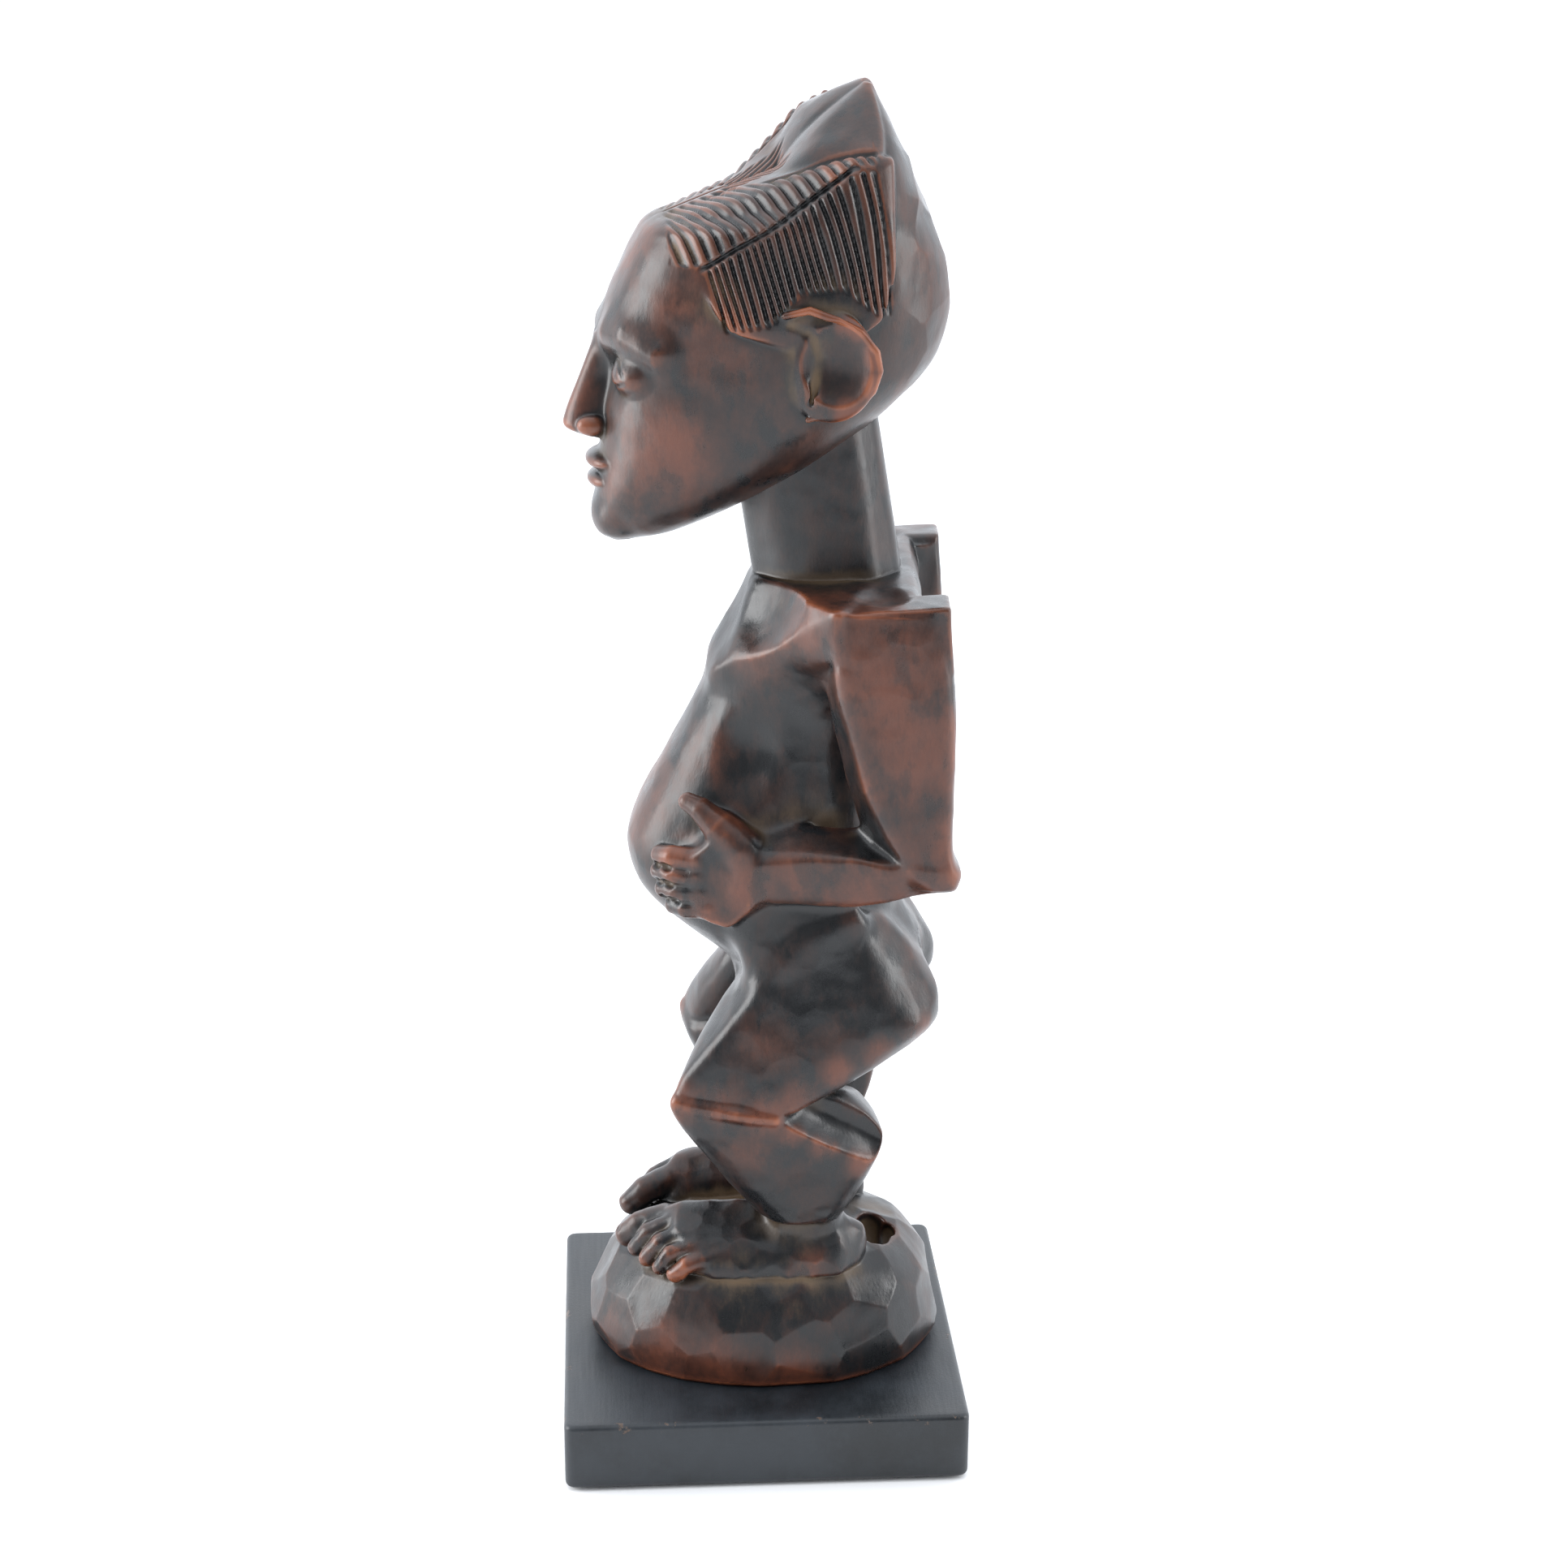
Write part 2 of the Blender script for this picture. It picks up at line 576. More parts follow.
# Upper arms, broad and flat outside, held clear of the trunk, down to pointed elbows.
half.add(form("z", [
    [162.5, 50, 55.8, 40, 4],
    [164, 47, 56.5, 40, 6.4],
    [168, 43.5, 56.8, 40, 7.6],
    [175, 39, 55.4, 40, 8],
    [190, 31, 55.2, 40, 8.2],
    [205, 26.6, 55.4, 40, 8.4],
    [220, 22.4, 55, 39.6, 8.6],
    [235, 20.8, 53.2, 38.4, 8.8],
    [243.2, 21.5, 51.8, 37.2, 9],
], 4.5), 1)
half.add(block([
    (32.6, 30, 172), (46.4, 41.4, 173), (32.4, 24, 190), (47, 32.4, 190), (32, 20.4, 208),
    (47, 27.8, 208), (31.6, 18.6, 226), (46.6, 23, 226), (34, 46, 172), (46, 46, 172), (34, 34, 226),
    (46, 34, 226),
], 3.4), 2.5)

# Forearms, with a bevel along the top that runs out at the wrist.
half.add(block([
    (43, 46, 159.4), (41.5, 32, 155.4), (39.5, 16, 157), (37.5, 4.4, 158.4), (36.4, -4, 155.6),
    (32, 46, 159), (31, 32, 154.6), (29, 16, 155), (26, -4, 154), (37.6, -4, 168), (42, 10, 172),
    (45.4, 22.6, 170), (47.9, 36, 171), (48, 48, 168), (44, 57.2, 167), (30, -4, 174), (30, 2, 175.6),
    (31, 20, 178.6), (31, 32, 176.2), (33, 44, 174), (37, 56.6, 166.8), (42, 55.6, 162.8),
    (34, 52, 163),
], 3.6), 4)

# Hands laid on the belly: a palm, four short notched fingers and a hooked thumb.
half.add(block([
    (37, -1, 168.4), (37, -0.6, 154.8), (35.6, -7.4, 146.6), (34, -15, 148.6), (33.4, -18, 153),
    (33.4, -19, 168.6), (35.6, -8.4, 177.6), (27, 3, 168), (27, 3, 155), (25, -8, 147), (24, -18, 150),
    (24, -19, 169), (26, -8, 178),
], 2.6), 4)
FINGERS = [
    [(31.5, -16, 166.6, 3.4), (28.6, -23.8, 166.5, 3.3), (24.6, -27.4, 165.6, 3.0)],
    [(31.7, -16, 161.8, 3.4), (28.8, -23.9, 161.3, 3.3), (24.6, -27.6, 160.6, 3.0)],
    [(31.8, -15, 157.0, 3.4), (28.9, -22.8, 156.2, 3.3), (25, -26.4, 155.5, 3.0)],
    [(32, -13, 152.4, 3.4), (29.4, -20, 151.3, 3.2), (26, -23.4, 151, 2.9)],
]
for finger in FINGERS:
    half.add(limb(finger), 0.9)
for a, b in zip(FINGERS[:-1], FINGERS[1:]):
    for share, size in ((0.1, 2.4), (0.95, 2.0)):
        spots = [np.array(f[1])[:3] * (1 - share) + np.array(f[2])[:3] * share for f in (a, b)]
        middle = (spots[0] + spots[1]) / 2 + (2.6, -2.4, 0)
        half.cut(ball(middle, (2.6, size, 1.3), -45), 0.8)
half.add(limb([
    (33, -4, 171, 6), (31.6, -10.4, 176.6, 4.9), (29.6, -15.6, 181.2, 3.5), (27.4, -19.4, 182.8, 2.7),
]), 2)

# Neck: a column with shallow upright facets and a crisp foot on the shoulder shelf.
half.add(block([
    (7, -0.4, 240), (15, 8, 240), (17.6, 20, 240), (14.5, 33, 240), (6, 41, 240), (-7, -0.4, 240),
    (-15, 8, 240), (-6, 41, 240), (6, -9, 294), (13.5, -2, 294), (16.4, 11, 294), (13.4, 25, 294),
    (5.5, 32, 294), (-6, -9, 294), (-14, 10, 294), (-5.5, 32, 294),
], 2.4), 0.5)

# Both halves together, gone over with the adze.
figure = Wood((-56, -62, -3), (56, 62, 296), BODY_CELL)
across = int(round(-figure.low[0] / BODY_CELL))
above = int(round((half.low[2] - figure.low[2]) / BODY_CELL))
left = half.field[:across + 1]
figure.field[across:across + len(left), :, above:above + left.shape[2]] = left
figure.field[across - len(left) + 1:across + 1, :, above:above + left.shape[2]] = left[::-1]
# The far elbow is pared flat where it would reach past the plinth's back edge.
figure.cut(block([
    (-56, 55.8, 150), (-30, 57, 150), (-56, 55.8, 185), (-30, 57, 185), (-56, 63, 150), (-30, 63, 150),
    (-56, 63, 185), (-30, 63, 185),
], 0.5), 0.5)
figure.adze((-56, -62, 26), (56, 62, 58), 7, 0.8, 4)
figure.adze((-56, -62, 50), (56, 62, 250), 13, 0.55, 5)

# The domed base, its upper flanks scraped smooth under the feet, and an old hollow behind them.
ground = Wood((-50, -60, -3), (50, 60, 44), BODY_CELL)
ground.add(form("z", [
    [-3, -47.5, 51.5, 0, 38],
    [0, -49.8, 53.2, 0, 40.6],
    [4, -51.8, 54.8, 0, 42.2],
    [10, -52, 55, 0, 42.8],
    [18, -49.6, 53.6, 0, 41.4],
    [24, -46.6, 52, 0, 39.6],
    [29, -43, 48.6, 0, 37.4],
    [33, -38, 43.4, 0, 34.6],
    [36, -30, 35.5, 0, 29],
    [38, -16, 24, 0, 18],
    [38.8, -4, 12, 0, 5],
], 2.2), 0)
ground.adze((-50, -60, -3), (50, 60, 44), 15.5, 2.7, 11)
for side in (-1, 1):
    ground.add(ball((side * 22, -3, 14), (19.4, 32, 21)), 4)
ground.cut(ball((6, 35.6, 34.4), (8.6, 5.2, 9.6), 6), 0.8)
ground.cut(ball((4.6, 39.2, 31.2), (5.2, 3.4, 4.4), -12), 0.8)
x_at, y_at = (int(round((ground.low[i] - figure.low[i]) / BODY_CELL)) for i in (0, 1))
under = tuple(slice(a, a + n) for a, n in zip((x_at, y_at, 0), ground.count))
figure.field[under] = smooth_min(figure.field[under], ground.field, 0.8)


def sawn(x, y, z):
    """Takes away all that lies below the plinth's top."""
    return np.where(z < 0.05, Wood.FAR, 0.0) + 0 * x + 0 * y


figure.groove((-60, -64, -4), (60, 64, 0.2), sawn)


def near(places, spots):
    """How near each place is to the strongest of some spots (x, y, z, reach, amount), left or
    right. A spot with an amount below zero takes away from the ones before it."""
    total = np.zeros(len(places))
    for x, y, z, reach, amount in spots:
        gap = (np.abs(places[:, 0]) - x) ** 2 + (places[:, 1] - y) ** 2 + (places[:, 2] - z) ** 2
        here = amount * fade(1 - gap / reach**2)
        total = np.maximum(total, here) if amount > 0 else np.maximum(total + here, 0)
    return total


def keep_largest_shell(mesh):
    """Drops the loose specks that crossing cuts leave behind."""
    bm = bmesh.new()
    bm.from_mesh(mesh)
    left = set(bm.verts)
    shells = []
    while left:
        shell = [left.pop()]
        for vertex in shell:
            for edge in vertex.link_edges:
                other = edge.other_vert(vertex)
                if other in left:
                    left.remove(other)
                    shell.append(other)
        shells.append(shell)
    shells.sort(key=len)
    bmesh.ops.delete(bm, geom=[vertex for shell in shells[:-1] for vertex in shell], context="VERTS")
    bm.to_mesh(mesh)
    bm.free()


def carved(wood, name, stand, handled, dusty):
    """The surface of the wood as a mesh, with its finish measured at every point: where it
    bends, where hands have worn it and where dust has settled."""
    grid = openvdb.FloatGrid(3.0)
    grid.copyFromArray(np.clip(wood.field, -3, 3))
    points, triangles, quads = grid.convertToPolygons(isovalue=0.0, adaptivity=0.0)
    faces = [tuple(f) for f in triangles] + [tuple(f) for f in quads]
    mesh = bpy.data.meshes.new(name)
    mesh.from_pydata(points * wood.cell + wood.low, [], faces)
    piece = bpy.data.objects.new(name, mesh)
    bpy.context.collection.objects.link(piece)
    total = len(triangles) + 2 * len(quads)
    if total > MOST_TRIANGLES:
        thinned = piece.modifiers.new("thinned", "DECIMATE")
        thinned.ratio = MOST_TRIANGLES / total
        shown = piece.evaluated_get(bpy.context.evaluated_depsgraph_get())
        mesh = bpy.data.meshes.new_from_object(shown)
        piece.modifiers.remove(thinned)
        piece.data = mesh
    keep_largest_shell(mesh)
    places = np.empty(len(mesh.vertices) * 3, np.float32)
    mesh.vertices.foreach_get("co", places)
    places = places.reshape(-1, 3).astype(float)
    ways = wood.slope(places, wood.cell * 0.7)

    # 24 directions spread evenly over a ball: an edge has more air around it than wood.
    angle = np.pi * (3 - 5**0.5) * np.arange(24)
    level = 1 - (2 * np.arange(24) + 1) / 24
    flat = np.sqrt(1 - level**2)
    around = np.stack([np.cos(angle) * flat, np.sin(angle) * flat, level], axis=1)
    fine, broad = (
        sum(wood.measure(places + way * size) for way in around) / (24 * size) for size in (1.3, 3.2)
    )
    for label, values in {
        "fine_bend": fine, "broad_bend": broad,
        "handled": near(places, handled), "dusty": near(places, dusty),
    }.items():
        mark = mesh.attributes.new(label, "FLOAT", "POINT")
        mark.data.foreach_set("value", values.astype(np.float32))

    mesh.shade_smooth()
    mesh.normals_split_custom_set_from_vertices(ways)
    mesh.transform(Matrix.Translation((0, 0, plinth_high.z)) @ stand @ Matrix.Scale(MM, 4))
    return piece


standing = Matrix.Rotation(math.radians(FIGURE_TURN), 4, "Z")
body = carved(figure, "carved_body", standing, handled=[
    (48, 34, 230, 25, 0.9), (48, 48, 204, 24, 0.85), (48, 52, 176, 18, 0.85), (36, 14, 238, 16, 0.75),
    (24, 0, 226, 12, 0.65), (0, -38, 180, 28, 0.7), (20, -16, 196, 12, 0.35), (34, -2, 160, 14, 1.0),
    (33, -14, 152, 9, 0.9), (28, -20, 166, 9, 1.0), (31, -8, 176, 9, 0.9), (44, 30, 158, 16, 0.8),
    (44, 44, 164, 14, 0.8), (42, 12, 166, 12, 0.6), (37, -22, 93, 9, 0.8), (40, -10, 93, 9, 0.9),
    (43, 3, 91, 10, 1.1), (43, 12, 97, 8, 0.9), (42, 24, 105, 7, 0.8), (38, 36, 110, 7, 0.7),
    (32, 48, 114, 8, 0.7), (38, 4, 112, 13, 0.5), (41, 10, 85, 6, 0.9), (40, 20, 80, 6, 0.9),
    (36, 32, 73, 7, 1.0), (38, -2, 80, 12, 0.55), (32, -22, 37, 8, 1.0), (24, -30, 36, 8, 0.6),
    (35, 16, 37, 8, 0.7), (38, -28, 8, 16, 0.75), (42, -8, 7, 14, 0.8), (42, 12, 5, 12, 0.7),
    (26, -44, 12, 12, 0.4), (20, 44, 128, 14, 0.3),
], dusty=[
    (36, -6, 32, 14, 0.9), (36, 12, 33, 13, 0.9), (32, 30, 34, 9, 0.8), (8, -10, 40, 18, 0.7),
    (4, 36, 28, 13, 1.0), (28, 6, 178, 11, 0.8), (29, 22, 180, 11, 0.8), (20, -16, 176, 8, 0.7),
    (14, 18, 243, 20, 0.5), (26, -26, 160, 9, 0.6), (30, 18, 96, 9, 0.5), (28, 10, 50, 14, 0.4),
    (24, -28, 34, 14, 0.5),
])

# Oil, smoke and handling: near-black in the hollows, red-brown where hands rub, and a line
# of bare orange wood along the sharpest edges. Pale dust lies in the recesses.
patina = Finish("oiled_patina")
cloud = patina.minus(patina.noise(45, (1, 1, 0.6), detail=7, roughness=0.7), 0.5)
streak = patina.minus(patina.noise(170, (1, 1, 0.3), detail=6, roughness=0.7), 0.5)
blotch = patina.ramp(patina.noise(120, (1, 1, 0.6), detail=5, roughness=0.6), 0.48, 0.64)
speck = patina.noise(1100, (1, 1, 0.4), detail=4)
swell = patina.noise(100, detail=1)
fine_bend, broad_bend = patina.attribute("fine_bend"), patina.attribute("broad_bend")
handled, dusty = patina.attribute("handled"), patina.attribute("dusty")
mottle = patina.plus(patina.times(cloud, 1.8), patina.times(streak, 0.6))
mottle = patina.minus(mottle, patina.times(blotch, 0.3))
rubbed = patina.plus(patina.times(handled, 0.95), patina.times(broad_bend, 1.5))
rubbed = patina.plus(rubbed, mottle)
edge_rub = patina.plus(fine_bend, patina.times(mottle, 0.06))
edge_most = patina.plus(patina.times(handled, 0.85), 0.1)
edge_share = patina.times(patina.ramp(edge_rub, 0.03, 0.13), edge_most)
hollow = patina.plus(fine_bend, patina.times(broad_bend, 0.6))
grime = patina.ramp(hollow, -0.03, -0.2, 0, 0.85)
settled = patina.ramp(patina.plus(broad_bend, patina.times(streak, -0.25)), 0.03, -0.16)
dust_share = patina.times(dusty, patina.times(settled, 0.75))
colour = patina.mix(patina.ramp(rubbed, -0.2, 0.45), (0.005, 0.0056, 0.0066, 1), (0.034, 0.014, 0.0095, 1))
colour = patina.mix(patina.ramp(rubbed, 0.22, 1.15), colour, (0.12, 0.036, 0.018, 1))
colour = patina.mix(edge_share, colour, (0.26, 0.08, 0.033, 1))
colour = patina.mix(grime, colour, (0.005, 0.005, 0.0055, 1))
colour = patina.mix(dust_share, colour, (0.16, 0.1, 0.05, 1))
patina.colour(colour)
sheen = patina.ramp(patina.plus(mottle, patina.times(speck, 0.3)), -0.6, 0.6, 0.23, 0.38)
patina.roughness(patina.plus(sheen, patina.times(dust_share, 0.4)))
relief = patina.plus(patina.times(streak, 0.5), patina.times(speck, 0.25))
relief = patina.plus(relief, patina.times(swell, 3.0))
patina.bump(relief, 0.22 * MM, 0.75)
body.data.materials.append(patina.material)
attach(body, "root")
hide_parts("carved_figure")

# ---- Carved head --------------------------------------------------------------------------
# The head is the top of the same log, so nothing fixes it: its mesh only starts inside the neck.
# It is shaped straight ahead and turned at the end. Its plain face is set out in equal thirds
# from hairline to brow, nose and chin, with closed lids and lips.

HEAD_CELL = 0.45
HEAD_TURN = 8             # degrees: the head looks a little to its left
CHIN, NOSE_BASE, BROW = 256.0, 285.3, 314.7
head = Wood((-44, -62, 250), (44, 58, 384), HEAD_CELL)
head.paired = True
head.add(form("z", [
    [255.5, -39, -31, 0, 5],
    [258, -44, -22, 0, 11],
    [264, -46, -8, 0, 17.5],
    [270, -46, 4, 0, 21.5],
    [278, -45, 19, 0, 26],
    [290, -44, 34.3, 0, 30],
    [301, -43.4, 46, 0, 32.2],
    [309, -43.2, 50.6, 0, 32.8],
    [316, -43.2, 52.6, 0, 33],
    [323, -42, 52.8, 0, 33.2],
    [331, -38.5, 52, 0, 33],
    [339, -34.5, 49.5, 0, 32.6],
    [344, -30, 47.2, 0, 32.4],
    [347.5, -17, 45.6, 0, 31.6],
    [351, -6, 44.2, 0, 30.4],
    [355, 2, 42.4, 0, 28.5],
    [360, 10, 40.4, 0, 25.5],
    [365, 17, 38, 0, 20.6],
    [370, 22, 35.7, 0, 14.6],
    [375, 25.6, 33, 0, 8.4],
    [379.4, 28.6, 31, 0, 2],
], 2.3), 1)
head.add(block([
    (0, -29.5, 344.6), (0, -18, 347), (0, -7, 352), (0, 5, 357.5), (-16, -5, 349), (-18, 20, 357),
    (12, -28.4, 343.6), (17, -19.4, 345), (19, -9.2, 347), (21, -1, 352), (23, 5, 356), (24.6, 13, 360),
    (26.6, 22.3, 363.4), (27.6, 27.7, 361.6), (22, -23.4, 339.6), (26, -17.5, 334), (27.6, -9.5, 340),
    (28.4, 3, 347), (29.4, 12.5, 353.6), (29.4, 22.1, 360.2), (34.6, -12.8, 319), (35.2, 0, 319.6),
    (35, 15, 324), (34.6, 29, 321), (24.6, 33.4, 362.6), (33, 31.4, 342.6), (34, 32.6, 333),
    (32.4, 14, 310), (31.6, -17, 326), (10, -20, 330), (-20, 0, 322), (-20, 30, 322), (-20, 30, 350),
], 1.6), 0.8)

# Coiffure: two smooth lobes rising to a pointed crest behind a combed and plaited front.
head.add(block([
    (0, 4, 356.5), (13, 3.4, 355.4), (20, 12, 359), (15, 14.6, 367), (3, 11.6, 367), (3, 19.6, 374),
    (2, 29.6, 380.2), (-2, 29.6, 380.2), (6.4, 30.6, 377.6), (17.4, 31.8, 368), (23.6, 30.6, 363.6),
    (27, 27.8, 361.4), (-14, 14, 366), (-14, 30, 369), (0, 30, 350), (20, 30, 352),
], 1.6), 1)
head.cut(ball((17, 3, 384), (12, 26, 19)), 3)
head.cut(limb([(0, 7, 366, 1.6), (0, 12, 369.4, 1.5), (0, 19.6, 376, 1.4), (0, 25, 381, 1.0)]), 1.5)

# The plaits, with a deep parting under each and the combed hair falling from it.
PARTING = np.array([
    (23, -20.5, 334), (25, -17, 335.2), (27, -9.5, 340), (27.6, -1.7, 344.2), (28.4, 3, 347),
    (29.2, 12.5, 353.6), (29.2, 17.3, 357), (28.8, 22.1, 360.4),
])
COMB_FOOT = np.array([(-12, 317.6), (-1, 319.4), (3, 322.5), (7, 327.6), (19, 328.4), (25, 324), (29, 321)])
PLAIT_INSIDE = np.array([(-28, 2), (-10, 3), (-4, 11), (-1, 15), (5, 18), (13, 20.6), (22, 23), (27, 24)])
COMB_PITCH = 2.3
PLAIT_PITCH = 2.9
BRAID_PITCH = 3.4


def combed(x, y, z):
    """Close upright grooves between the parting above and the temple and ear below."""
    top = np.interp(y, PARTING[:, 1], PARTING[:, 2]).astype(np.float32)
    foot = np.interp(y, COMB_FOOT[:, 0], COMB_FOOT[:, 1]).astype(np.float32)
    lean = 0.28 - 0.16 * fade((y - 12) / 16)
    run = y + lean * (z - 322) + 0.3 * np.sin(z * 0.21 + y * 0.5)
    cut = 1 - np.abs(np.sin(np.pi * run / COMB_PITCH))
    front = fade((run + 14.6) / 0.8)
    back = fade((33.2 - run) / 1.5)
    tall = fade((top - 0.6 - z) / 1.0) * fade((z - foot) / 2.5)
    parting = 1.5 * fade(1 - np.abs(z - top) / 1.2) * fade((y + 20) / 3) * fade((24 - y) / 3)
    return np.maximum(1.25 * cut**1.1 * front * back * tall, parting) * fade((x - 18) / 2)


head.groove((18, -26, 316), (44, 36, 364), combed)


def plaited(x, y, z):
    """Slanting strands of the side plait, long at the forehead and short at the crest."""
    low = np.interp(y, PARTING[:, 1], PARTING[:, 2]).astype(np.float32)
    inner = np.interp(y, PLAIT_INSIDE[:, 0], PLAIT_INSIDE[:, 1]).astype(np.float32)
    run = y + 0.2 * (z - low) - 0.35 * x
    cut = 1 - np.abs(np.sin(np.pi * run / PLAIT_PITCH))
    within = fade((z - low - 0.5) / 1.2) * fade((x - inner) / 2) * fade((29 - y) / 1.2)
    border = fade(1 - np.abs(x - inner)) * fade((y + 2) / 4) * fade((29 - y) / 1.2)
    return (1.25 * cut * within + border) * fade((y + 27) / 2) * fade((x - 1.5) / 1.5)


head.groove((1, -32, 333), (34, 30, 370), plaited)


def braided(x, y, z):
    """The middle braid, its strands sweeping back from a seam."""
    run = y - 1.15 * x
    cut = 1 - np.abs(np.sin(np.pi * run / BRAID_PITCH))
    side = fade((8.6 - x) / 1.2) * fade((y + 9 + x) / 3) * fade((6 + 0.3 * x - y) / 1.5)
    seam = 0.9 * fade(1 - x / 0.8) * fade((y + 27) / 3) * fade((7 - y) / 1.5)
    return side * cut + seam


head.groove((0, -29, 338), (11, 9, 364), braided)

# Ears: thin upright shells, hollowed towards the cheek, with a sharp rim.
head.add(ball((33.4, 15, 308.6), (4.6, 13.4, 15.2), -22), 1.2)
EAR_RIM = [
    (34.8, 2.6, 322.8, 0.8), (36.4, 9.2, 324.4, 1.1), (37.8, 16.4, 321.8, 1.1),
    (38.6, 22.4, 318.4, 1.1), (38.8, 26.8, 313.4, 1.1), (38.4, 27.8, 308.2, 1.1),
    (37.2, 26.2, 302.6, 1.1), (35.8, 21.9, 298.7, 1.1), (33.9, 15.2, 296, 1.0), (32.4, 9.4, 294, 0.8),
]
head.add(limb(EAR_RIM), 0.9)
head.cut(ball((40.4, 17, 309.6), (5.6, 11.6, 12.6), -24), 0.8)
head.cut(limb([
    (35.4, 4, 320, 0.4), (35.4, 9.8, 317.4, 1.0), (34.8, 12.4, 311, 1.3), (34.4, 11, 304, 1.0),
    (34, 10.2, 299, 0.4),
]), 1.6)

# Face: smooth cheeks and temples, a soft brow, closed almond lids, nose and lips.
head.cut(ball((14.2, -51, 303), (11.5, 11.5, 9.5)), 5)
head.add(ball((13.6, -33.5, 303.6), (10, 8.6, 6.4), -10), 1.5)
head.add(limb([
    (2, -41.6, 312.4, 2.2), (9, -41, 314.4, 2.8), (17, -37.6, 314.6, 2.8), (25, -30.6, 311, 2.2),
]), 7)
head.add(form("z", [
    [NOSE_BASE - 1, -49, -38, 0, 5],
    [NOSE_BASE + 1.5, -54.4, -38, 0, 6],
    [NOSE_BASE + 6, -54, -38, 0, 5.4],
    [NOSE_BASE + 16, -50, -38, 0, 3.9],
    [BROW - 2, -45.5, -36, 0, 4.6],
], 2.1), 2)
head.add(ball((5.2, -47, NOSE_BASE + 2.6), (3.2, 4.4, 3)), 0.8)
head.add(ball((0, -42.6, 277.6), (11, 6.2, 3.0)), 1)
head.add(ball((0, -42.4, 272), (9.6, 6, 3.1)), 0.4)
head.cut(limb([(-2, -48.6, 274.9, 0.35), (5, -48, 274.7, 0.35), (10.6, -44.4, 274.4, 0.3)]), 0.5)
head.add(ball((0, -40.6, 261.4), (10, 6, 6)), 4)


def lidded(x, y, z):
    """The crease over each lid and the line where the lids meet."""
    across = (x - 13.7) / 7.6
    arc = fade(1 - across**2)
    meet = 0.45 * fade(1 - np.abs(z - (302.6 - 1.6 * arc)) / 0.7)
    crease = 0.4 * fade(1 - np.abs(z - (303.6 + 4.6 * arc)) / 0.8)
    return (meet + crease) * fade(arc * 4) * (y < -32)


head.groove((5, -46, 298), (23, -30, 311), lidded)
head.paired = False

# The right lobe and its plait were left standing higher than the left.
where, x, y, z = head.window((-44, -10, 325), (0, 48, 384))
rise = 0.46 * -x * fade((y + 6) / 19) * fade((46 - y) / 18) * fade((z - 332) / 24)
level = np.clip(np.arange(z.size) - rise / HEAD_CELL, 0, z.size - 1.001)
below = np.floor(level).astype(int)
lobe = head.field[where]
share = (level - below).astype(np.float32)
lower, upper = (np.take_along_axis(lobe, below + step, 2) for step in (0, 1))
head.field[where] = lower * (1 - share) + upper * share
head.adze((-44, 34, 285), (44, 58, 378), 14, 1.4, 21)

turned = standing @ Matrix.Rotation(math.radians(HEAD_TURN), 4, "Z")
head_part = carved(head, "carved_head", turned, handled=[
    (30, -30, 284, 22, 1.0), (32, -14, 312, 18, 0.8), (12, -40, 272, 14, 0.5), (8, -36, 336, 18, 0.6),
    (24, -26, 322, 14, 0.6), (37, 20, 320, 6, 1.1), (39, 27, 312, 5, 1.1), (38.6, 27, 304, 5, 1.1),
    (36, 8, 324.6, 6, 1.1), (35, 20, 297, 6, 1.1), (27, 16, 359, 6, 0.7), (4, -50, 292, 12, 0.6),
    (0, 0, 330, 90, 0.36), (28, 6, 342, 26, -0.5),
], dusty=[
    (34, 9, 314, 8, 1.0), (33, 10, 304, 8, 1.0), (33, 5, 320, 6, 1.0), (29, -16, 326, 9, 1.0),
    (21, -25, 340, 9, 0.9), (14, 6, 356, 9, 0.8), (18, -44, 303, 9, 0.7), (8, -46, 282, 8, 0.4),
    (34, 16, 326, 9, 0.6), (6, -27, 344, 9, 0.6),
])
head_part.data.materials.append(patina.material)
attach(head_part, "root")
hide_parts("carved_figure")

# ---- Floor, light and camera --------------------------------------------------------------
# A plain white table in a bright tent of light, seen from the figure's left side.

floor_mesh = bpy.data.meshes.new("white_table")
floor_mesh.from_pydata([(-4, -4, 0), (4, -4, 0), (4, 4, 0), (-4, 4, 0)], [], [(0, 1, 2, 3)])
floor = bpy.data.objects.new("white_table", floor_mesh)
bpy.context.collection.objects.link(floor)
white = Finish("white_paper")
white.shader.inputs["Base Color"].default_value = (0.97, 0.97, 0.97, 1)
white.shader.inputs["Roughness"].default_value = 0.9
floor.data.materials.append(white.material)

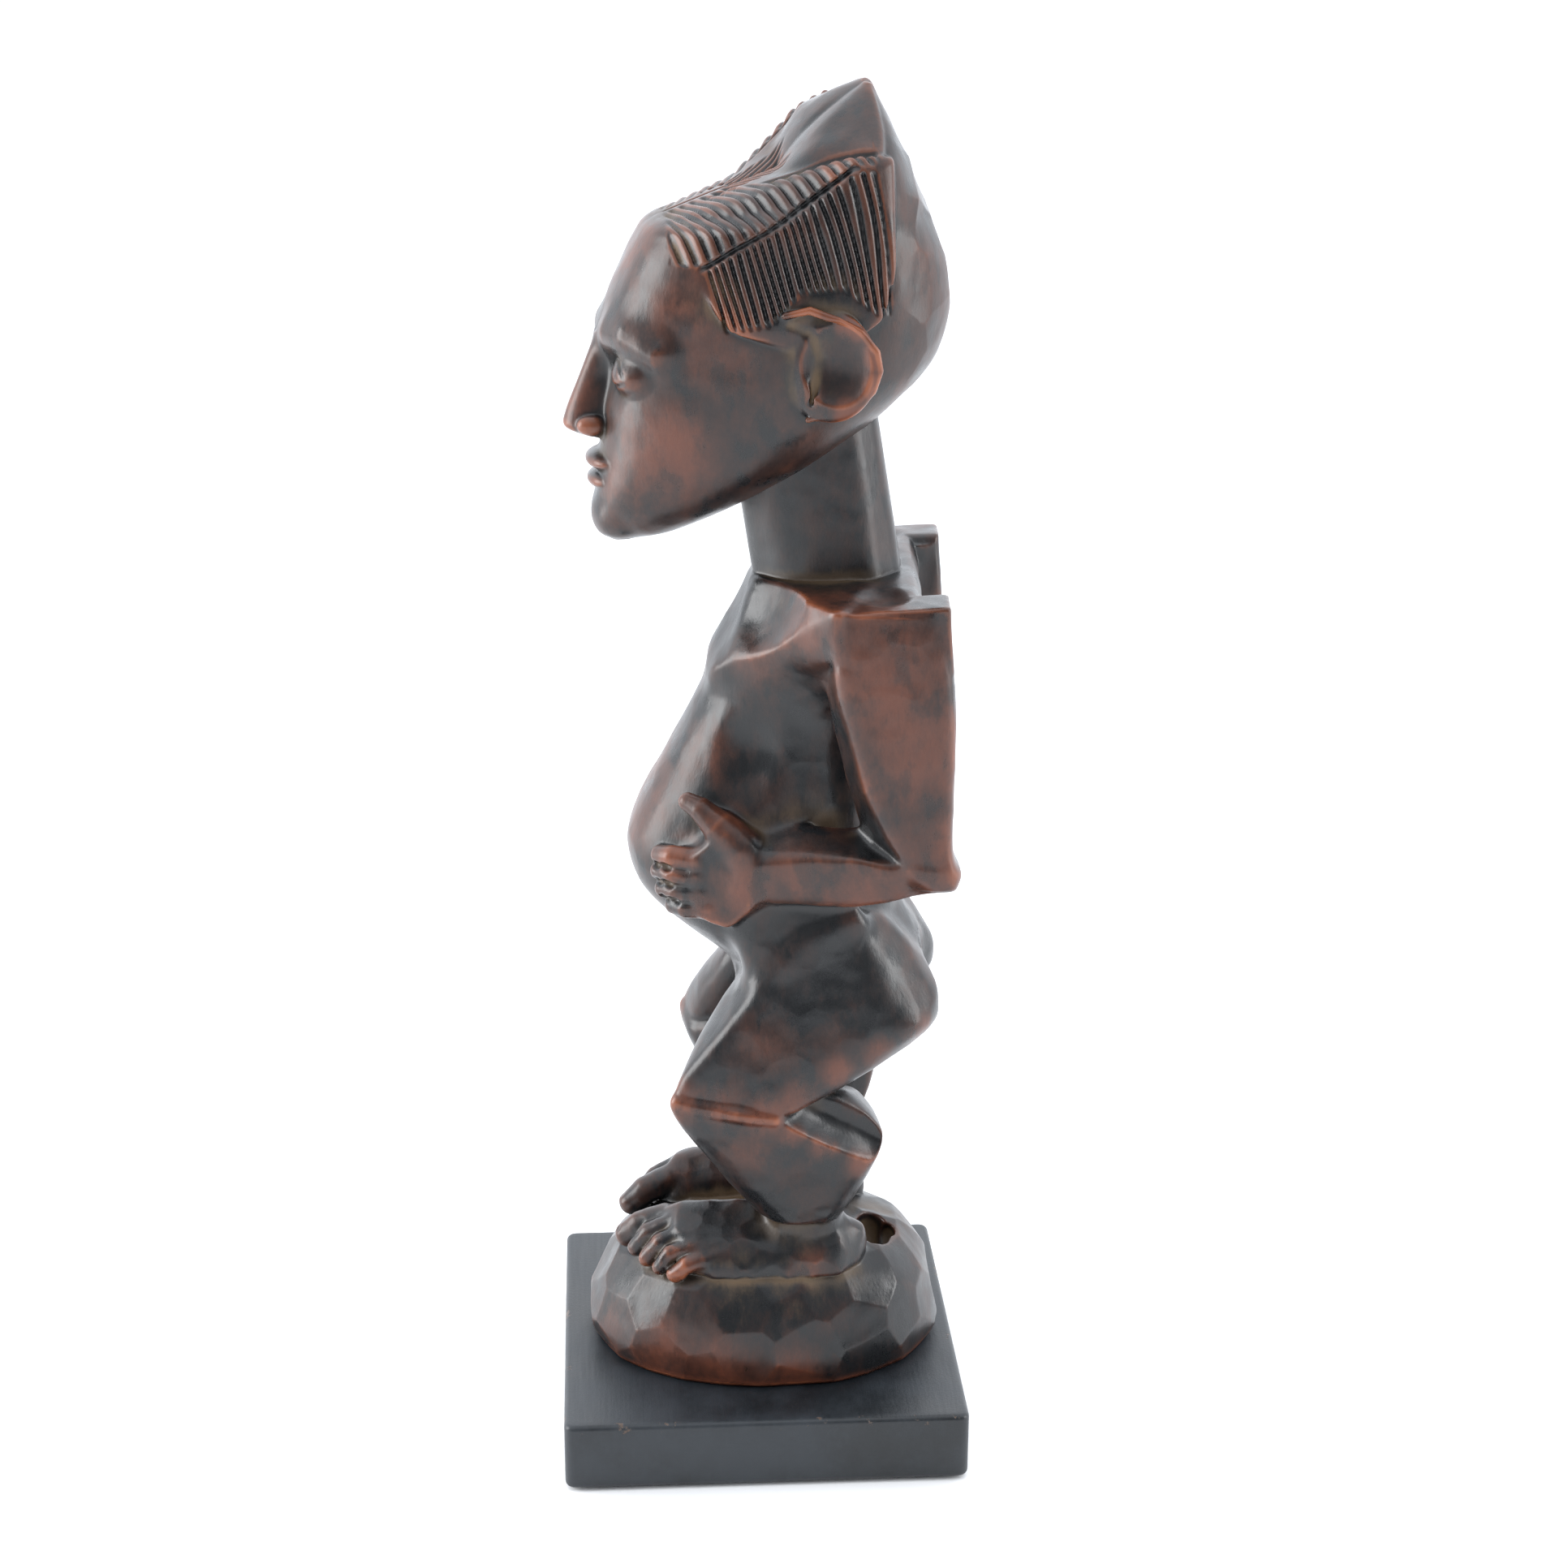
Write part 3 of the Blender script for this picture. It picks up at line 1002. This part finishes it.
# The tent is brightest above and behind, and dim on the camera's side; seen directly it is white.
world = bpy.data.worlds.new("light_tent")
bpy.context.scene.world = world
world.use_nodes = True
tent = world.node_tree
tent.nodes["Background"].inputs["Color"].default_value = (0.96, 1.0, 1.06, 1)
toward = tent.nodes.new("ShaderNodeVectorMath")
toward.operation = "DOT_PRODUCT"
toward.inputs[1].default_value = (-0.8, 0.0, 0.6)
tent.links.new(tent.nodes.new("ShaderNodeTexCoord").outputs["Generated"], toward.inputs[0])
glow = tent.nodes.new("ShaderNodeMapRange")
glow.interpolation_type = "SMOOTHSTEP"
for slot, value in enumerate((-0.6, 0.8, 0.34, 2.1), 1):
    glow.inputs[slot].default_value = value
tent.links.new(toward.outputs["Value"], glow.inputs[0])
seen = tent.nodes.new("ShaderNodeMix")
tent.links.new(tent.nodes.new("ShaderNodeLightPath").outputs["Is Camera Ray"], seen.inputs[0])
tent.links.new(glow.outputs[0], seen.inputs[2])
seen.inputs[3].default_value = 1.1
tent.links.new(seen.outputs[0], tent.nodes["Background"].inputs["Strength"])


def softbox(name, place, aim, size, power):
    lamp = bpy.data.lights.new(name, "AREA")
    lamp.shape = "RECTANGLE"
    lamp.size, lamp.size_y = size
    lamp.energy = power
    holder = bpy.data.objects.new(name, lamp)
    bpy.context.collection.objects.link(holder)
    holder.location = place
    holder.rotation_euler = (Vector(aim) - Vector(place)).to_track_quat("-Z", "Y").to_euler()


softbox("softbox_front", (0.0, -1.4, 0.48), (0, 0, 0.2), (0.8, 1.0), 19)
softbox("softbox_back", (0.35, 1.4, 0.56), (0, 0, 0.2), (0.5, 0.9), 10)

camera = bpy.data.cameras.new("camera")
camera_holder = bpy.data.objects.new("camera", camera)
bpy.context.collection.objects.link(camera_holder)
camera.sensor_width = 36
camera.lens = 67.14
CAMERA_PLACE = Vector((0.806, -0.044, 0.4909))
CAMERA_AHEAD = Vector((-0.939, 0.0602, -0.3386)).normalized()
CAMERA_ROLL = 0.27        # degrees
look = CAMERA_AHEAD.to_track_quat("-Z", "Y").to_matrix().to_4x4()
roll = Matrix.Rotation(math.radians(CAMERA_ROLL), 4, "Z")
camera_holder.matrix_world = Matrix.Translation(CAMERA_PLACE) @ look @ roll
bpy.context.scene.camera = camera_holder
bpy.context.scene.view_settings.view_transform = "Standard"
